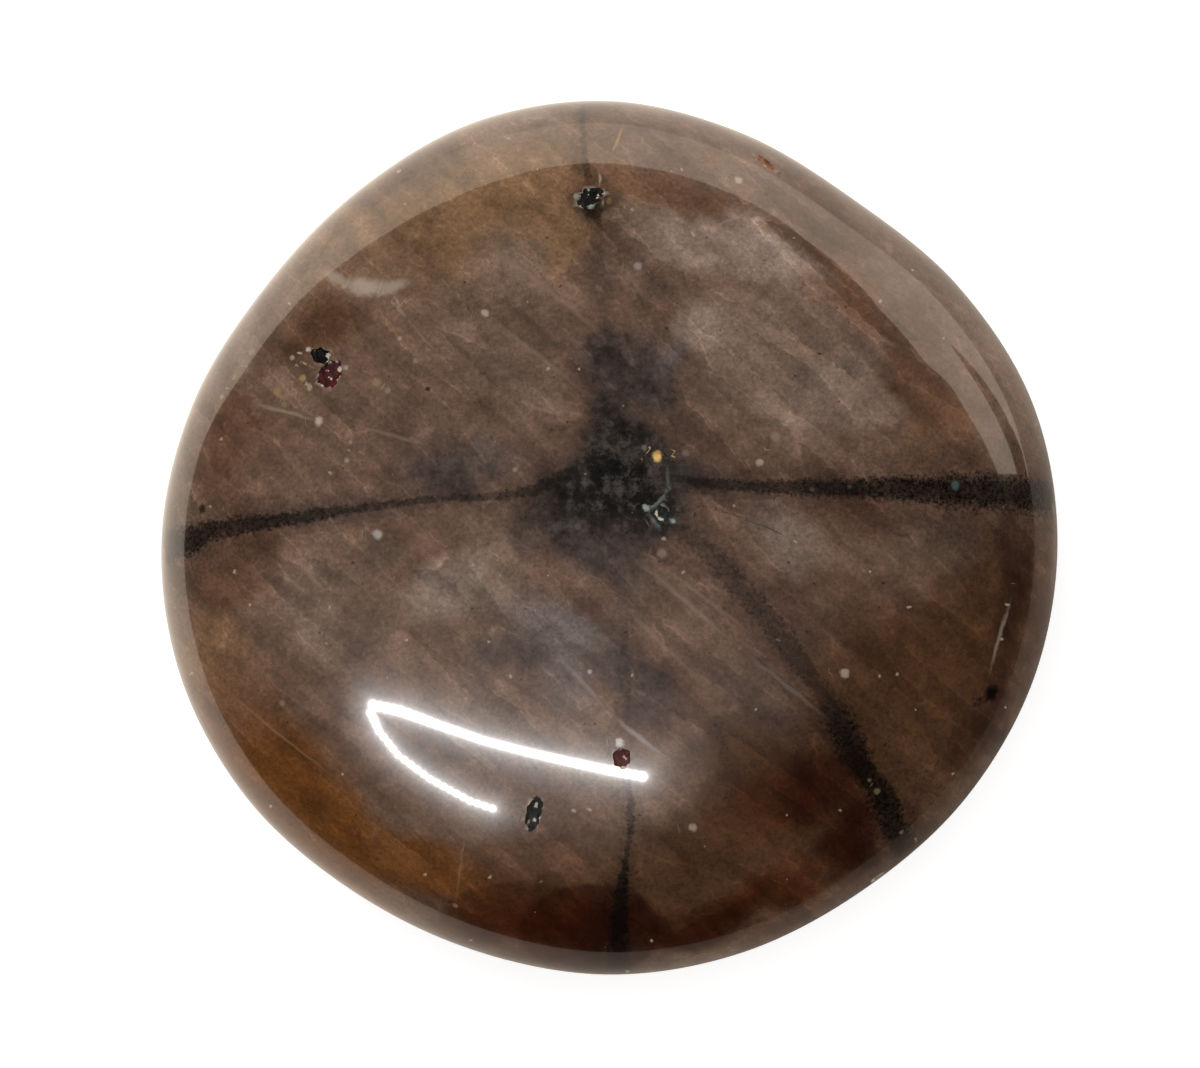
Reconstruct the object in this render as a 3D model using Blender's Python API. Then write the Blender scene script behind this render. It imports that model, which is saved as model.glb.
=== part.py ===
"""A polished slice of chiastolite: one loose stone that lies on a small flat spot.

The stone is a pillow. Its plan is an uneven round outline, its upper face is a low dome that
rolls over into the rim, and its underside does the same around the flat spot. The larger pits
that the polish has left open are cut into the upper face and the rim. Everything that is only
colour, such as the dark cross, stays flat.

X runs to the right and Y to the top of the upper face, +Z is up, and the origin lies on the
flat spot, under the middle of the outline's box.
"""
import math

import bmesh
import bpy
from mathutils import Matrix, Vector

MM = 0.001

# Driving dimensions, in millimetres. The radii are 18 degrees apart and start at +X.
OUTLINE_RADII = (
    18.05, 17.90, 17.35, 16.85, 17.20, 17.65, 17.65, 17.30, 17.20, 17.65,
    18.05, 18.15, 17.95, 17.55, 17.45, 17.55, 17.50, 17.45, 17.75, 18.00,
)
CROWN_HEIGHT = 5.6
BELLY_DEPTH = 5.2

# The form of the section: 2 is an ellipse, and more is flatter on the face and fuller at the rim.
CROWN_FULLNESS = 3.8
BELLY_FULLNESS = 4.0
FLAT_SPOT_SHARE = 0.42

# Hand polishing leaves the dome a little uneven: its greatest rise and fall, and where they lie.
SWELL_HEIGHT = 0.14
SWELL_LOBES = 2
SWELL_TURN = math.radians(35)

# How finely the form is faceted.
STEPS_PER_RADIUS = 6
CROWN_RINGS = 20
BELLY_RINGS = 11

# The open pits: place, length, width and depth in millimetres, and the length's turn from +X.
PITS = {
    "garnet": (-11.03, 6.45, 1.20, 0.95, 0.32, 70),
    "garnet_notch": (-11.38, 7.17, 0.90, 0.60, 0.26, 150),
    "oblong": (-2.97, -10.82, 1.50, 0.65, 0.32, 80),
    "wedge": (0.47, -8.64, 0.80, 0.65, 0.28, 90),
    "top_arm": (-0.73, 13.43, 1.05, 0.70, 0.24, 15),
    "vein": (1.97, 0.93, 0.95, 0.60, 0.18, 120),
    "rim_scar": (6.23, 14.92, 1.10, 0.45, 0.25, 120),
    "rim_chip": (10.73, -13.65, 0.75, 0.50, 0.30, 50),
}
PIT_ROUNDNESS = 2

STONE_COLOUR = (0.125, 0.073, 0.052, 1.0)
STONE_ROUGHNESS = 0.15


def clear_scene():
    for obj in list(bpy.data.objects):
        bpy.data.objects.remove(obj, do_unlink=True)


def stone_material():
    material = bpy.data.materials.new("polished_stone")
    material.use_nodes = True
    shader = material.node_tree.nodes["Principled BSDF"]
    shader.inputs["Base Color"].default_value = STONE_COLOUR
    shader.inputs["Roughness"].default_value = STONE_ROUGHNESS
    shader.inputs["Metallic"].default_value = 0.0
    return material


def outline():
    """The plan outline: a closed Catmull-Rom curve through the radii, centred on its own box."""
    count = len(OUTLINE_RADII)
    knots = []
    for i, radius in enumerate(OUTLINE_RADII):
        angle = 2 * math.pi * i / count
        knots.append(Vector((radius * math.cos(angle), radius * math.sin(angle))))
    points = []
    for i in range(count):
        before, start, end, after = (knots[(i + k) % count] for k in (-1, 0, 1, 2))
        for step in range(STEPS_PER_RADIUS):
            u = step / STEPS_PER_RADIUS
            bend = 2 * before - 5 * start + 4 * end - after
            twist = 3 * start - 3 * end + after - before
            points.append(0.5 * (2 * start + (end - before) * u + bend * u * u + twist * u ** 3))
    middle = Vector((
        (min(p.x for p in points) + max(p.x for p in points)) / 2,
        (min(p.y for p in points) + max(p.y for p in points)) / 2,
    ))
    return [p - middle for p in points]


def swell(share, angle):
    """The uneven polish: nothing at the middle and at the rim, and most between them."""
    return SWELL_HEIGHT * 4 * share ** 2 * (1 - share ** 2) * math.cos(SWELL_LOBES * (angle - SWELL_TURN))


def crown_height(share, angle):
    """Height over the flat spot of the upper face, at a share of the way out to the rim."""
    dome = CROWN_HEIGHT * math.sqrt(max(0.0, 1 - share ** CROWN_FULLNESS))
    return BELLY_DEPTH + dome + swell(share, angle)


def belly_height(share):
    """Height over the flat spot of the underside, which would be a full dome without the flat."""
    full_depth = BELLY_DEPTH / math.sqrt(1 - FLAT_SPOT_SHARE ** BELLY_FULLNESS)
    return BELLY_DEPTH - full_depth * math.sqrt(max(0.0, 1 - share ** BELLY_FULLNESS))


def ring_shares(count, inner_share):
    """Shares of the way out for rings from the rim inward, close together where the side is steep."""
    return [1 - (1 - inner_share) * (k / count) ** 2 for k in range(count + 1)]


def lofted_stone():
    """The whole form as rings of the outline, closed by the flat spot and by a fan at the top."""
    plan = outline()
    angles = [math.atan2(p.y, p.x) for p in plan]
    mesh = bmesh.new()
    rings = []
    for share in reversed(ring_shares(BELLY_RINGS, FLAT_SPOT_SHARE)[1:]):
        height = belly_height(share) if rings else 0.0
        rings.append([mesh.verts.new((p.x * share * MM, p.y * share * MM, height * MM)) for p in plan])
    for share in ring_shares(CROWN_RINGS, 0.0)[:-1]:
        rings.append([
            mesh.verts.new((p.x * share * MM, p.y * share * MM, crown_height(share, angle) * MM))
            for p, angle in zip(plan, angles)
        ])
    count = len(plan)
    for lower, upper in zip(rings, rings[1:]):
        for i in range(count):
            k = (i + 1) % count
            mesh.faces.new((lower[i], lower[k], upper[k], upper[i]))
    mesh.faces.new(list(reversed(rings[0])))
    top = mesh.verts.new((0.0, 0.0, (BELLY_DEPTH + CROWN_HEIGHT) * MM))
    for i in range(count):
        mesh.faces.new((rings[-1][i], rings[-1][(i + 1) % count], top))
    return mesh


def new_object(name, mesh):
    data = bpy.data.meshes.new(name)
    mesh.to_mesh(data)
    mesh.free()
    obj = bpy.data.objects.new(name, data)
    bpy.context.collection.objects.link(obj)
    return obj


def rim_share(x, y):
    """How far out a point lies: 0 at the middle and 1 on the outline."""
    angle = math.atan2(y, x)
    nearest = min(outline(), key=lambda p: abs(math.remainder(math.atan2(p.y, p.x) - angle, 2 * math.pi)))
    return math.hypot(x, y) / nearest.length


def pit_cutter(name, x, y, length, width, depth, turn):
    """An egg that sits half out of the upper face, square to it, with its long way turned in plan."""
    step = 0.2
    angle = math.atan2(y, x)
    here = crown_height(rim_share(x, y), angle)
    east = crown_height(rim_share(x + step, y), math.atan2(y, x + step))
    north = crown_height(rim_share(x, y + step), math.atan2(y + step, x))
    normal = Vector((here - east, here - north, step)).normalized()
    along = Vector((math.cos(math.radians(turn)), math.sin(math.radians(turn)), 0.0))
    along = (along - normal * along.dot(normal)).normalized()
    across = normal.cross(along)
    axes = Matrix((along, across, normal)).transposed().to_4x4()
    size = Matrix.Diagonal((length / 2, width / 2, depth, 1.0))
    mesh = bmesh.new()
    bmesh.ops.create_icosphere(mesh, subdivisions=PIT_ROUNDNESS, radius=1.0)
    place = Matrix.Translation((x, y, here))
    bmesh.ops.transform(mesh, matrix=Matrix.Scale(MM, 4) @ place @ axes @ size, verts=mesh.verts)
    cutter = new_object("cutter_" + name, mesh)
    cutter.hide_render = True
    cutter.display_type = "WIRE"
    return cutter


def build():
    clear_scene()
    stone = new_object("chiastolite_slice", lofted_stone())
    stone.data.materials.append(stone_material())
    stone.data.shade_smooth()
    for name, (x, y, length, width, depth, turn) in PITS.items():
        cut = stone.modifiers.new("pit_" + name, "BOOLEAN")
        cut.operation = "DIFFERENCE"
        cut.solver = "EXACT"
        cut.object = pit_cutter(name, x, y, length, width, depth, turn)


build()
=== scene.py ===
"""The looks of a polished chiastolite slice: one pillow-shaped stone that lies on a pale floor.

The script follows the stone as it is worked: the camera that sees it, the lofted form, the open
pits, the polished andalusite with its graphite cross, and last the floor and the studio lights.
"""

import math

import bmesh
import bpy
from mathutils import Matrix, Vector, noise
from mathutils.bvhtree import BVHTree
from mathutils.interpolate import poly_3d_calc


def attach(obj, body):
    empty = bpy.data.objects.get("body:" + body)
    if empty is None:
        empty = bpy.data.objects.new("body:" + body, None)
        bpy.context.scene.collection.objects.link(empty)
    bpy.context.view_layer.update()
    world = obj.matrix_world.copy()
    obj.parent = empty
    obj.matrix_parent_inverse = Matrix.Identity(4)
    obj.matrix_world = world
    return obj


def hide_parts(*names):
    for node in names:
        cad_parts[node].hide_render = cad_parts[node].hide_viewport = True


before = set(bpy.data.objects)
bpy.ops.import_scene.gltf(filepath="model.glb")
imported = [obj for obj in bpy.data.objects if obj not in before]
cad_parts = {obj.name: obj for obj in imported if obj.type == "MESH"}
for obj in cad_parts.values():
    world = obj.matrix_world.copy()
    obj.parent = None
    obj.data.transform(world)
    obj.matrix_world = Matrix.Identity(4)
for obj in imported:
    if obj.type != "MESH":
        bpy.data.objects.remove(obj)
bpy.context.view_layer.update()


# The camera
# It looks straight down on the polished face, as the photograph does. The stone's own width gives
# the scale, and a place in the photograph is a pixel (right, down) of its 1200 by 1068 frame.
MM = 0.001
PHOTO_WIDTH = 1200
PHOTO_HEIGHT = 1068
STONE_WIDTH = 36.0
STONE_WIDTH_IN_PHOTO = 893
STONE_MIDDLE_IN_PHOTO = (609.35, 537.6)
GIRDLE_HEIGHT = 5.2
CAMERA_RISE = 200.0
SENSOR_WIDTH = 36.0

mm_per_pixel = STONE_WIDTH / STONE_WIDTH_IN_PHOTO
pixels_per_slope = CAMERA_RISE / mm_per_pixel
camera_place = MM * Vector((
    (PHOTO_WIDTH / 2 - STONE_MIDDLE_IN_PHOTO[0]) * mm_per_pixel,
    (STONE_MIDDLE_IN_PHOTO[1] - PHOTO_HEIGHT / 2) * mm_per_pixel,
    GIRDLE_HEIGHT + CAMERA_RISE,
))

camera_data = bpy.data.cameras.new("camera")
camera_data.sensor_width = SENSOR_WIDTH
camera_data.lens = pixels_per_slope * SENSOR_WIDTH / PHOTO_WIDTH
camera_data.clip_start = 10 * MM
camera = bpy.data.objects.new("camera", camera_data)
camera.location = camera_place
bpy.context.collection.objects.link(camera)
bpy.context.scene.camera = camera


def sight(pixel):
    """The direction in which the camera sees a pixel of the photograph."""
    right = (pixel[0] - PHOTO_WIDTH / 2) / pixels_per_slope
    up = (PHOTO_HEIGHT / 2 - pixel[1]) / pixels_per_slope
    return Vector((right, up, -1.0)).normalized()


# The stone
# One slice sawn across an andalusite crystal, ground to a pillow with a low dome above and below,
# a rolled rim and a small flat underneath, and polished by hand all over.
OUTLINE_RADII = (
    18.05, 17.90, 17.35, 16.85, 17.20, 17.65, 17.65, 17.30, 17.20, 17.65,
    18.05, 18.15, 17.95, 17.55, 17.45, 17.55, 17.50, 17.45, 17.75, 18.00,
)  # mm, 18 degrees apart from +X, as in the solid
FORM = {
    "Crown height": 5.6 * MM,
    "Crown fullness": 3.8,
    "Belly depth": GIRDLE_HEIGHT * MM,
    "Belly fullness": 4.0,
    "Flat spot share": 0.42,
    "Swell height": 0.14 * MM,
    "Swell turn": math.radians(35),
    "Flat spot row": 0.06,
    "Girdle row": 0.28,
    "Polish wave height": 0.012 * MM,
    "Polish wave length": 7.0 * MM,
}
STEPS_ROUND = 384
ROWS = 200
OUTLINE_STEPS = 32
WELD_DISTANCE = 0.001 * MM
MATH = "ShaderNodeMath"
VECTOR_MATH = "ShaderNodeVectorMath"
MAP_RANGE = "ShaderNodeMapRange"


def add(tree, kind, inputs=None, **settings):
    """Adds a node, sets its settings, and sets its inputs or links them to other nodes."""
    made = tree.nodes.new(kind)
    for name, value in settings.items():
        setattr(made, name, value)
    for socket, value in (inputs or {}).items():
        if isinstance(socket, str):
            socket = next(s for s in made.inputs if s.enabled and s.name == socket)
        else:
            socket = made.inputs[socket]
        if isinstance(value, bpy.types.Node):
            value = next(s for s in value.outputs if s.enabled)
        if isinstance(value, bpy.types.NodeSocket):
            tree.links.new(value, socket)
        else:
            socket.default_value = value
    return made


def lofted_pillow():
    """A tree that lofts a closed pillow over an outline: rows run from the flat spot to the top."""
    tree = bpy.data.node_groups.new("lofted_pillow", "GeometryNodeTree")
    tree.interface.new_socket("Geometry", in_out="OUTPUT", socket_type="NodeSocketGeometry")
    tree.interface.new_socket("Outline knots", in_out="INPUT", socket_type="NodeSocketGeometry")
    for name, value in FORM.items():
        socket = tree.interface.new_socket(name, in_out="INPUT", socket_type="NodeSocketFloat")
        socket.default_value = value
    tree.interface.new_socket("Finish", in_out="INPUT", socket_type="NodeSocketMaterial")
    given = add(tree, "NodeGroupInput").outputs

    # The outline: a closed Catmull-Rom curve through the knots, centred on its own box.
    curve = add(tree, "GeometryNodeMeshToCurve", {0: given["Outline knots"]})
    curve = add(tree, "GeometryNodeCurveSplineType", {"Curve": curve}, spline_type="CATMULL_ROM")
    curve = add(tree, "GeometryNodeSetSplineResolution", {"Geometry": curve, "Resolution": OUTLINE_STEPS})
    box = add(tree, "GeometryNodeBoundBox", {"Geometry": curve})
    middle = add(tree, VECTOR_MATH, {0: box.outputs["Min"], 1: box.outputs["Max"]}, operation="ADD")
    middle = add(tree, VECTOR_MATH, {0: middle, "Scale": 0.5}, operation="SCALE")

    # A flat grid, one unit each way, gives each point its way round and its row.
    grid = add(tree, "GeometryNodeMeshGrid", {
        "Size X": 1.0, "Size Y": 1.0, "Vertices X": STEPS_ROUND + 1, "Vertices Y": ROWS + 1,
    })
    across = add(tree, "ShaderNodeSeparateXYZ", {0: add(tree, "GeometryNodeInputPosition")}).outputs
    way_round = add(tree, MATH, {0: across["X"], 1: 0.5}, operation="ADD", use_clamp=True)
    row = add(tree, MATH, {0: across["Y"], 1: 0.5}, operation="ADD", use_clamp=True)
    way_in = add(tree, MAP_RANGE, {
        "Value": row, "From Min": given["Girdle row"], "From Max": 1.0,
    })
    way_under = add(tree, MAP_RANGE, {
        "Value": row, "From Min": given["Flat spot row"], "From Max": given["Girdle row"],
        "To Min": 1.0, "To Max": 0.0,
    })
    way_flat = add(tree, MAP_RANGE, {
        "Value": row, "From Max": given["Flat spot row"],
    })

    # How far out each row lies, closest together where the side is steep.
    crown_share = add(tree, MATH, {0: way_in, 1: 2.0}, operation="POWER")
    crown_share = add(tree, MATH, {0: 1.0, 1: crown_share}, operation="SUBTRACT")
    reach = add(tree, MATH, {0: 1.0, 1: given["Flat spot share"]}, operation="SUBTRACT")
    under_share = add(tree, MATH, {0: way_under, 1: 2.0}, operation="POWER")
    under_share = add(tree, MATH, {0: reach, 1: under_share}, operation="MULTIPLY")
    under_share = add(tree, MATH, {0: 1.0, 1: under_share}, operation="SUBTRACT")
    share = add(tree, MATH, {0: crown_share, 1: under_share}, operation="MULTIPLY")
    share = add(tree, MATH, {0: share, 1: way_flat}, operation="MULTIPLY")
    sample = add(tree, "GeometryNodeSampleCurve", {"Curves": curve, "Factor": way_round}, mode="FACTOR")
    rim = add(tree, VECTOR_MATH, {0: sample.outputs["Position"], 1: middle}, operation="SUBTRACT")
    plan = add(tree, VECTOR_MATH, {0: rim, "Scale": share}, operation="SCALE")

    # The heights: a full dome above and below, each rolled over into the rim, and the flat spot.
    domes = {}
    for side in ("Crown", "Belly"):
        power = add(tree, MATH, {0: share, 1: given[side + " fullness"]}, operation="POWER")
        rest = add(tree, MATH, {0: 1.0, 1: power}, operation="SUBTRACT", use_clamp=True)
        domes[side] = add(tree, MATH, {0: rest}, operation="SQRT")
    spot_dome = add(tree, MATH, {0: given["Flat spot share"], 1: given["Belly fullness"]}, operation="POWER")
    spot_dome = add(tree, MATH, {0: 1.0, 1: spot_dome}, operation="SUBTRACT")
    spot_dome = add(tree, MATH, {0: spot_dome}, operation="SQRT")
    full_depth = add(tree, MATH, {0: given["Belly depth"], 1: spot_dome}, operation="DIVIDE")
    drop = add(tree, MATH, {0: full_depth, 1: domes["Belly"]}, operation="MULTIPLY")
    drop = add(tree, MATH, {0: drop, 1: given["Belly depth"]}, operation="MINIMUM")
    rise = add(tree, MATH, {0: given["Crown height"], 1: domes["Crown"]}, operation="MULTIPLY")

    # The uneven polish: two low swells that fade at the middle and at the rim.
    rim_part = add(tree, "ShaderNodeSeparateXYZ", {0: rim}).outputs
    bearing = add(tree, MATH, {0: rim_part["Y"], 1: rim_part["X"]}, operation="ARCTAN2")
    bearing = add(tree, MATH, {0: bearing, 1: given["Swell turn"]}, operation="SUBTRACT")
    bearing = add(tree, MATH, {0: bearing, 1: 2.0}, operation="MULTIPLY")
    lobes = add(tree, MATH, {0: bearing}, operation="COSINE")
    share_square = add(tree, MATH, {0: share, 1: 2.0}, operation="POWER")
    inside = add(tree, MATH, {0: 1.0, 1: share_square}, operation="SUBTRACT")
    fade = add(tree, MATH, {0: share_square, 1: inside}, operation="MULTIPLY")
    fade = add(tree, MATH, {0: fade, 1: 4.0}, operation="MULTIPLY")
    swell = add(tree, MATH, {0: fade, 1: lobes}, operation="MULTIPLY")
    swell = add(tree, MATH, {0: swell, 1: given["Swell height"]}, operation="MULTIPLY")
    above = add(tree, MATH, {0: rise, 1: swell}, operation="ADD")
    below = add(tree, MATH, {0: drop, 1: -1.0}, operation="MULTIPLY")
    on_crown = add(tree, MATH, {0: way_in, 1: 0.0}, operation="GREATER_THAN")
    level = add(tree, "GeometryNodeSwitch", {
        "Switch": on_crown, "False": below, "True": above,
    }, input_type="FLOAT")
    height = add(tree, MATH, {0: level, 1: given["Belly depth"]}, operation="ADD")
    lift = add(tree, "ShaderNodeCombineXYZ", {"Z": height})
    place = add(tree, VECTOR_MATH, {0: plan, 1: lift}, operation="ADD")
    pillow = add(tree, "GeometryNodeSetPosition", {"Geometry": grid, "Position": place})
    pillow = add(tree, "GeometryNodeMergeByDistance", {"Geometry": pillow, "Distance": WELD_DISTANCE})

    # A hand-held stone on a soft wheel keeps very low waves in its gloss, above the girdle only.
    here = add(tree, "GeometryNodeInputPosition")
    wave_scale = add(tree, MATH, {0: 1.0, 1: given["Polish wave length"]}, operation="DIVIDE")
    waves = add(tree, "ShaderNodeTexNoise", {"Vector": here, "Scale": wave_scale, "Detail": 1.0})
    wave = add(tree, MATH, {0: waves.outputs["Fac"], 1: 0.5}, operation="SUBTRACT")
    wave = add(tree, MATH, {0: wave, 1: given["Polish wave height"]}, operation="MULTIPLY")
    upper = add(tree, MAP_RANGE, {
        "Value": add(tree, "ShaderNodeSeparateXYZ", {0: here}).outputs["Z"],
        "From Min": given["Belly depth"], "From Max": given["Crown height"], "To Min": 0.0, "To Max": 2.0,
    }, clamp=False)
    upper = add(tree, MATH, {0: upper, 1: 0.0}, operation="ADD", use_clamp=True)
    wave = add(tree, MATH, {0: wave, 1: upper}, operation="MULTIPLY")
    outward = add(tree, "GeometryNodeInputNormal")
    push = add(tree, VECTOR_MATH, {0: outward, "Scale": wave}, operation="SCALE")
    pillow = add(tree, "GeometryNodeSetPosition", {"Geometry": pillow, "Offset": push})
    pillow = add(tree, "GeometryNodeSetShadeSmooth", {"Geometry": pillow})
    pillow = add(tree, "GeometryNodeRealizeInstances", {"Geometry": pillow})
    pillow = add(tree, "GeometryNodeSetMaterial", {"Geometry": pillow, "Material": given["Finish"]})
    add(tree, "NodeGroupOutput", {0: pillow})
    return tree


def outline_knots():
    """The outline's radii as a closed ring of points."""
    count = len(OUTLINE_RADII)
    turns = [2 * math.pi * i / count for i in range(count)]
    knots = [(r * MM * math.cos(a), r * MM * math.sin(a), 0.0) for r, a in zip(OUTLINE_RADII, turns)]
    ring = bpy.data.meshes.new("outline_knots")
    ring.from_pydata(knots, [(i, (i + 1) % count) for i in range(count)], [])
    return ring


polished_andalusite = bpy.data.materials.new("polished_andalusite")
polished_andalusite.use_nodes = True
knots_object = bpy.data.objects.new("outline_knots", outline_knots())
bpy.context.collection.objects.link(knots_object)
loft = knots_object.modifiers.new("loft", "NODES")
loft.node_group = lofted_pillow()
for item in loft.node_group.interface.items_tree:
    if item.in_out == "INPUT" and item.name in FORM:
        loft[item.identifier] = FORM[item.name]
    if item.in_out == "INPUT" and item.name == "Finish":
        loft[item.identifier] = polished_andalusite
graph = bpy.context.evaluated_depsgraph_get()
pillow_mesh = bpy.data.meshes.new_from_object(knots_object.evaluated_get(graph))
bpy.data.objects.remove(knots_object)


def face_out(mesh):
    """Turns the faces of a closed mesh outwards."""
    work = bmesh.new()
    work.from_mesh(mesh)
    bmesh.ops.recalc_face_normals(work, faces=work.faces)
    work.to_mesh(mesh)
    work.free()


face_out(pillow_mesh)
pillow_mesh.name = "chiastolite_polished"
stone = bpy.data.objects.new("chiastolite_polished", pillow_mesh)
bpy.context.collection.objects.link(stone)

skin_corners = [v.co.copy() for v in pillow_mesh.vertices]
skin_normals = [v.normal.copy() for v in pillow_mesh.vertices]
skin_faces = [tuple(p.vertices) for p in pillow_mesh.polygons]
skin = BVHTree.FromPolygons(skin_corners, skin_faces)


def on_skin(start, direction):
    """Where a ray meets the uncut form, in metres, and the smooth normal there."""
    place, _, face, _ = skin.ray_cast(start, direction)
    ring = skin_faces[face]
    weights = poly_3d_calc([skin_corners[i] for i in ring], place)
    normal = sum((skin_normals[i] * w for i, w in zip(ring, weights)), Vector())
    return place, normal.normalized()


# The open pits
# Small cavities that the polish has cut into but not closed: crumbled garnet, a wedge-shaped hole,
# an oblong one, and chips at the rim. Their walls are broken stone, which stays dull.
PITS = {  # x, y, length, width, depth (mm), turn of the length from +X (deg), raggedness
    "garnet": (-11.03, 6.45, 1.20, 0.95, 0.32, 70, 0.30),
    "garnet_notch": (-11.38, 7.17, 0.90, 0.60, 0.26, 150, 0.35),
    "oblong": (-2.97, -10.82, 1.50, 0.65, 0.32, 80, 0.30),
    "wedge": (0.47, -8.64, 0.80, 0.65, 0.28, 90, 0.30),
    "top_arm": (-0.73, 13.43, 1.05, 0.70, 0.24, 15, 0.45),
    "vein": (1.97, 0.93, 0.95, 0.60, 0.18, 120, 0.45),
    "rim_scar": (6.23, 14.92, 1.10, 0.45, 0.25, 120, 0.35),
    "rim_chip": (10.73, -13.65, 0.75, 0.50, 0.30, 50, 0.30),
}
PIT_DETAIL = 4
PIT_GRAIN = 0.28  # mm
PIT_OCTAVES = 3
PIT_EDGE_ANGLE = math.radians(24)
PIT_TONES = {
    "garnet": "4a1210", "garnet_notch": "0c0a0a", "oblong": "2c2a26", "wedge": "5a2a26",
    "top_arm": "14110f", "vein": "1c2622", "rim_scar": "9a6a50", "rim_chip": "8a7a6a",
}
# The pits' walls are drawn in small facets: some painted darker or lighter as painted shade, the lightest
# given a painted glint colour, and a painted highlight along each pit's broken edge.
FACET = 0.22  # mm
PAINTED_GLINT = "a89a8c"
PAINTED_GLINT_FROM = 0.86
FACET_SHADE_LOW = 0.7
FACET_SHADE_SPREAD = 0.8
PIT_EDGE_HIGHLIGHT_SHARE = 0.2
PIT_EDGE_HIGHLIGHT_MOST = 0.5

pit_centres = {}
cutters = bmesh.new()
for name, (x, y, length, width, depth, turn, ragged) in PITS.items():
    centre, normal = on_skin(Vector((x * MM, y * MM, 1.0)), Vector((0, 0, -1)))
    pit_centres[name] = centre
    along = Vector((math.cos(math.radians(turn)), math.sin(math.radians(turn)), 0.0))
    along = (along - normal * along.dot(normal)).normalized()
    axes = Matrix((along, normal.cross(along), normal)).transposed()
    egg = bmesh.ops.create_icosphere(cutters, subdivisions=PIT_DETAIL, radius=1.0)["verts"]
    for point in egg:
        ball = Vector(point.co)
        size = Vector((ball.x * length / 2, ball.y * width / 2, ball.z * depth))
        chip = noise.fractal((size + centre / MM) / PIT_GRAIN, 1.0, 2.0, PIT_OCTAVES)
        point.co = centre + axes @ size * (1 + ragged * chip) * MM
cutter_mesh = bpy.data.meshes.new("pit_cutters")
cutters.to_mesh(cutter_mesh)
cutters.free()
pit_marker = bpy.data.materials.new("pit_marker")
cutter_mesh.materials.append(pit_marker)
pillow_mesh.materials.append(pit_marker)
cutter_object = bpy.data.objects.new("pit_cutters", cutter_mesh)
bpy.context.collection.objects.link(cutter_object)
cut = stone.modifiers.new("pits", "BOOLEAN")
cut.operation = "DIFFERENCE"
cut.solver = "MANIFOLD"
cut.object = cutter_object
graph = bpy.context.evaluated_depsgraph_get()
stone_mesh = bpy.data.meshes.new_from_object(stone.evaluated_get(graph))
stone.modifiers.clear()
stone.data = stone_mesh
bpy.data.objects.remove(cutter_object)
stone_mesh.name = "chiastolite_polished"
pit_floor = stone_mesh.attributes.new("pit_floor", "FLOAT", "FACE")
pit_slot = list(stone_mesh.materials).index(pit_marker)
pit_floor.data.foreach_set("value", [float(p.material_index == pit_slot) for p in stone_mesh.polygons])
for face in stone_mesh.polygons:
    face.material_index = 0
stone_mesh.materials.clear()
bpy.data.materials.remove(pit_marker)
stone_mesh.materials.append(polished_andalusite)
stone_mesh.shade_smooth()
stone_mesh.set_sharp_from_angle(angle=PIT_EDGE_ANGLE)


# The polished andalusite
# Brown aluminium silicate crystal, hand-polished: a wet-bright gloss over a softly hazy body. Fine
# graphite lies in it as a cross, a star-shaped core and smoke, and cleavage as pale slanting lines.
STONE_IOR = 1.64
POLISH_ROUGHNESS = 0.03
HAZE_ROUGHNESS = 0.19
HAZE_GLOSS = 0.20
PIT_ROUGHNESS = 0.6


def linear(hex_colour):
    """An sRGB colour such as 7d624c as the linear colour that a shader takes."""
    channels = [int(hex_colour[i:i + 2], 16) / 255 for i in (0, 2, 4)]
    return tuple(c / 12.92 if c <= 0.04045 else ((c + 0.055) / 1.055) ** 2.4 for c in channels) + (1.0,)


def on_stone(pixel):
    """The place on the stone that a pixel of the photograph shows, in millimetres."""
    return on_skin(camera_place, sight(pixel))[0] / MM


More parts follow.
